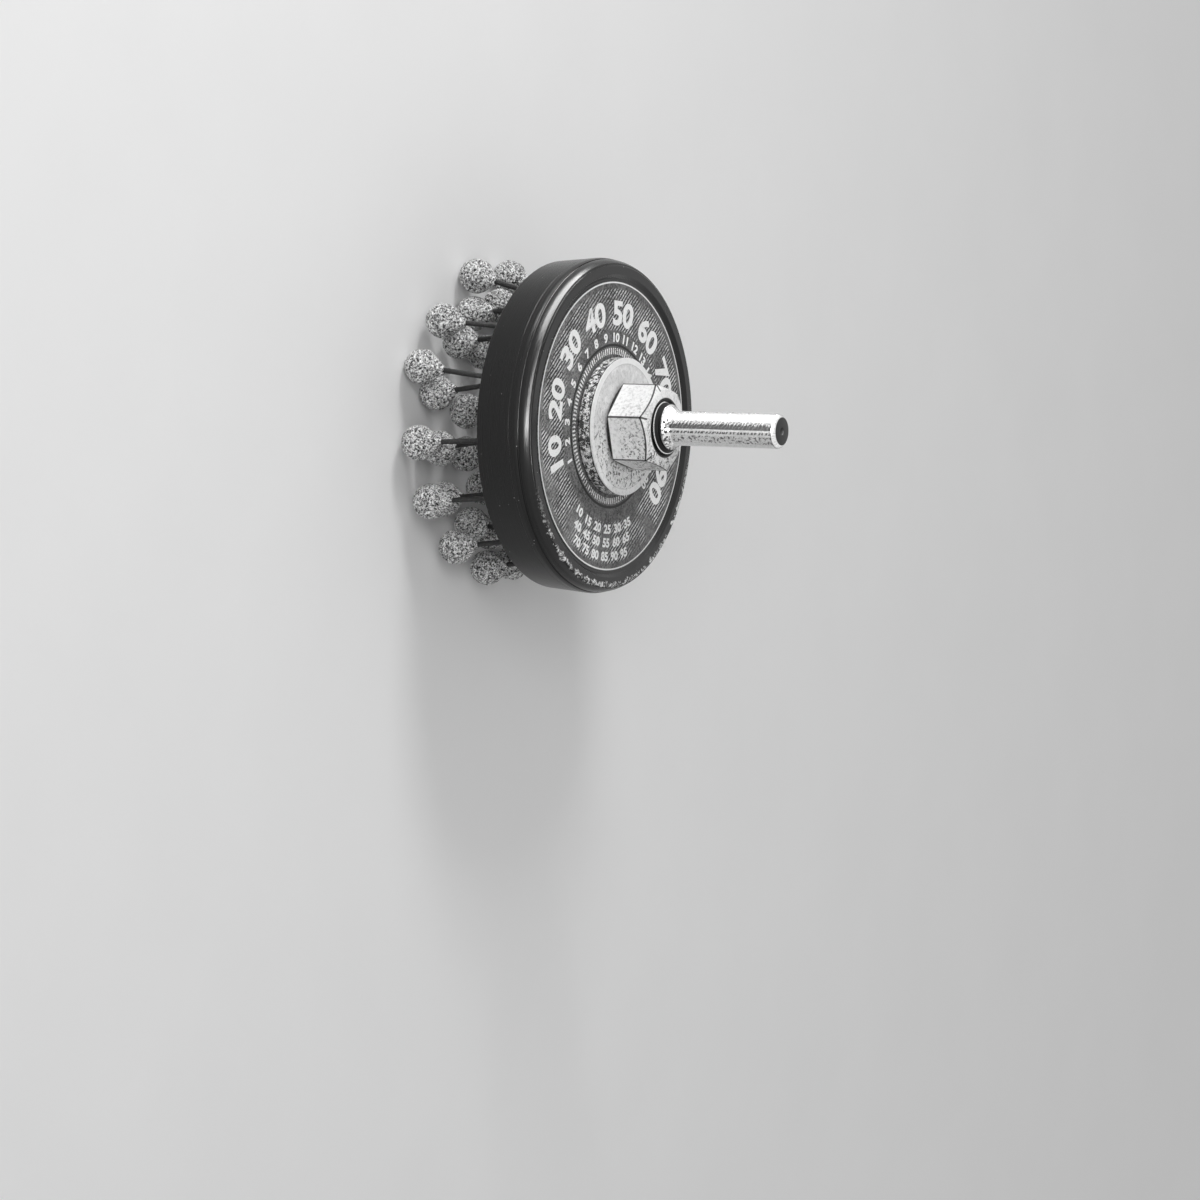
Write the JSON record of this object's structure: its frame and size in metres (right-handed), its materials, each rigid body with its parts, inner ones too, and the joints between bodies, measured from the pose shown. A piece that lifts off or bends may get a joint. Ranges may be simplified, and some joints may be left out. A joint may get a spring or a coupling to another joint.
{
  "type": "flexible ball hone for flat faces",
  "caption": "Drill-driven ball hone: a black moulded disc on a steel arbor, with abrasive globules on bending filaments that dress a flat face.",
  "frame": {"origin": "on the tool axis, in the plane of the lowest globule tips, where a flat workpiece would lie", "axes": "+Z along the arbor from the work towards the drill, the end of the shank up"},
  "size_m": [0.1028, 0.1028, 0.1067],
  "materials": {
    "moulding": "moulded black plastic with a soft sheen",
    "label": "matt print on a thin film",
    "zinc_plate": "bright zinc plate",
    "arbor_steel": "turned steel",
    "staple_wire": "drawn wire",
    "filament": "extruded nylon monofilament",
    "abrasive": "resin-bonded grit, coarse and pitted"
  },
  "bodies": {
    "arbor_and_disc": {"disc": "moulding", "label": "label", "rear_washer": "zinc_plate", "hex_nut": "zinc_plate", "front_washer": "zinc_plate", "arbor": "arbor_steel", "staples": "staple_wire"},
    "outer_tuft_01": {"outer_01_filament": "filament", "outer_01_globules": "abrasive"},
    "outer_tuft_02": {"outer_02_filament": "filament", "outer_02_globules": "abrasive"},
    "outer_tuft_03": {"outer_03_filament": "filament", "outer_03_globules": "abrasive"},
    "outer_tuft_04": {"outer_04_filament": "filament", "outer_04_globules": "abrasive"},
    "outer_tuft_05": {"outer_05_filament": "filament", "outer_05_globules": "abrasive"},
    "outer_tuft_06": {"outer_06_filament": "filament", "outer_06_globules": "abrasive"},
    "outer_tuft_07": {"outer_07_filament": "filament", "outer_07_globules": "abrasive"},
    "outer_tuft_08": {"outer_08_filament": "filament", "outer_08_globules": "abrasive"},
    "outer_tuft_09": {"outer_09_filament": "filament", "outer_09_globules": "abrasive"},
    "outer_tuft_10": {"outer_10_filament": "filament", "outer_10_globules": "abrasive"},
    "outer_tuft_11": {"outer_11_filament": "filament", "outer_11_globules": "abrasive"},
    "outer_tuft_12": {"outer_12_filament": "filament", "outer_12_globules": "abrasive"},
    "outer_tuft_13": {"outer_13_filament": "filament", "outer_13_globules": "abrasive"},
    "outer_tuft_14": {"outer_14_filament": "filament", "outer_14_globules": "abrasive"},
    "inner_tuft_1": {"inner_1_filament": "filament", "inner_1_globules": "abrasive"},
    "inner_tuft_2": {"inner_2_filament": "filament", "inner_2_globules": "abrasive"},
    "inner_tuft_3": {"inner_3_filament": "filament", "inner_3_globules": "abrasive"},
    "inner_tuft_4": {"inner_4_filament": "filament", "inner_4_globules": "abrasive"}
  },
  "joints": [
    {"name": "outer_tuft_01_sway", "type": "hinge", "parent": "arbor_and_disc", "child": "outer_tuft_01", "pos_m": [-0.03951, 0.00387, 0.0372], "axis": [-0.9952, 0.0976, 0], "range_deg": [-5, 5], "stiffness_Nm_per_rad": 0.36},
    {"name": "outer_tuft_02_sway", "type": "hinge", "parent": "arbor_and_disc", "child": "outer_tuft_02", "pos_m": [-0.03728, -0.01365, 0.0372], "axis": [-0.939, -0.3439, 0], "range_deg": [-5, 5], "stiffness_Nm_per_rad": 0.36},
    {"name": "outer_tuft_03_sway", "type": "hinge", "parent": "arbor_and_disc", "child": "outer_tuft_03", "pos_m": [-0.02766, -0.02848, 0.0372], "axis": [-0.6968, -0.7173, 0], "range_deg": [-5, 5], "stiffness_Nm_per_rad": 0.36},
    {"name": "outer_tuft_04_sway", "type": "hinge", "parent": "arbor_and_disc", "child": "outer_tuft_04", "pos_m": [-0.01257, -0.03766, 0.0372], "axis": [-0.3166, -0.9486, 0], "range_deg": [-5, 5], "stiffness_Nm_per_rad": 0.36},
    {"name": "outer_tuft_05_sway", "type": "hinge", "parent": "arbor_and_disc", "child": "outer_tuft_05", "pos_m": [0.00502, -0.03938, 0.0372], "axis": [0.1263, -0.992, 0], "range_deg": [-5, 5], "stiffness_Nm_per_rad": 0.36},
    {"name": "outer_tuft_06_sway", "type": "hinge", "parent": "arbor_and_disc", "child": "outer_tuft_06", "pos_m": [0.02161, -0.03331, 0.0372], "axis": [0.5442, -0.8389, 0], "range_deg": [-5, 5], "stiffness_Nm_per_rad": 0.36},
    {"name": "outer_tuft_07_sway", "type": "hinge", "parent": "arbor_and_disc", "child": "outer_tuft_07", "pos_m": [0.03392, -0.02063, 0.0372], "axis": [0.8543, -0.5197, 0], "range_deg": [-5, 5], "stiffness_Nm_per_rad": 0.36},
    {"name": "outer_tuft_08_sway", "type": "hinge", "parent": "arbor_and_disc", "child": "outer_tuft_08", "pos_m": [0.03951, -0.00387, 0.0372], "axis": [0.9952, -0.0976, 0], "range_deg": [-5, 5], "stiffness_Nm_per_rad": 0.36},
    {"name": "outer_tuft_09_sway", "type": "hinge", "parent": "arbor_and_disc", "child": "outer_tuft_09", "pos_m": [0.03728, 0.01365, 0.0372], "axis": [0.939, 0.3439, 0], "range_deg": [-5, 5], "stiffness_Nm_per_rad": 0.36},
    {"name": "outer_tuft_10_sway", "type": "hinge", "parent": "arbor_and_disc", "child": "outer_tuft_10", "pos_m": [0.02766, 0.02848, 0.0372], "axis": [0.6968, 0.7173, 0], "range_deg": [-5, 5], "stiffness_Nm_per_rad": 0.36},
    {"name": "outer_tuft_11_sway", "type": "hinge", "parent": "arbor_and_disc", "child": "outer_tuft_11", "pos_m": [0.01257, 0.03766, 0.0372], "axis": [0.3166, 0.9486, 0], "range_deg": [-5, 5], "stiffness_Nm_per_rad": 0.36},
    {"name": "outer_tuft_12_sway", "type": "hinge", "parent": "arbor_and_disc", "child": "outer_tuft_12", "pos_m": [-0.00502, 0.03938, 0.0372], "axis": [-0.1263, 0.992, 0], "range_deg": [-5, 5], "stiffness_Nm_per_rad": 0.36},
    {"name": "outer_tuft_13_sway", "type": "hinge", "parent": "arbor_and_disc", "child": "outer_tuft_13", "pos_m": [-0.02161, 0.03331, 0.0372], "axis": [-0.5442, 0.8389, 0], "range_deg": [-5, 5], "stiffness_Nm_per_rad": 0.36},
    {"name": "outer_tuft_14_sway", "type": "hinge", "parent": "arbor_and_disc", "child": "outer_tuft_14", "pos_m": [-0.03392, 0.02063, 0.0372], "axis": [-0.8543, 0.5197, 0], "range_deg": [-5, 5], "stiffness_Nm_per_rad": 0.36},
    {"name": "inner_tuft_1_sway", "type": "hinge", "parent": "arbor_and_disc", "child": "inner_tuft_1", "pos_m": [-0.01179, -0.01482, 0.0372], "axis": [-0.6225, -0.7826, 0], "range_deg": [-5, 5], "stiffness_Nm_per_rad": 0.36},
    {"name": "inner_tuft_2_sway", "type": "hinge", "parent": "arbor_and_disc", "child": "inner_tuft_2", "pos_m": [0.01482, -0.01179, 0.0372], "axis": [0.7826, -0.6225, 0], "range_deg": [-5, 5], "stiffness_Nm_per_rad": 0.36},
    {"name": "inner_tuft_3_sway", "type": "hinge", "parent": "arbor_and_disc", "child": "inner_tuft_3", "pos_m": [0.01179, 0.01482, 0.0372], "axis": [0.6225, 0.7826, 0], "range_deg": [-5, 5], "stiffness_Nm_per_rad": 0.36},
    {"name": "inner_tuft_4_sway", "type": "hinge", "parent": "arbor_and_disc", "child": "inner_tuft_4", "pos_m": [-0.01482, 0.01179, 0.0372], "axis": [-0.7826, 0.6225, 0], "range_deg": [-5, 5], "stiffness_Nm_per_rad": 0.36}
  ]
}
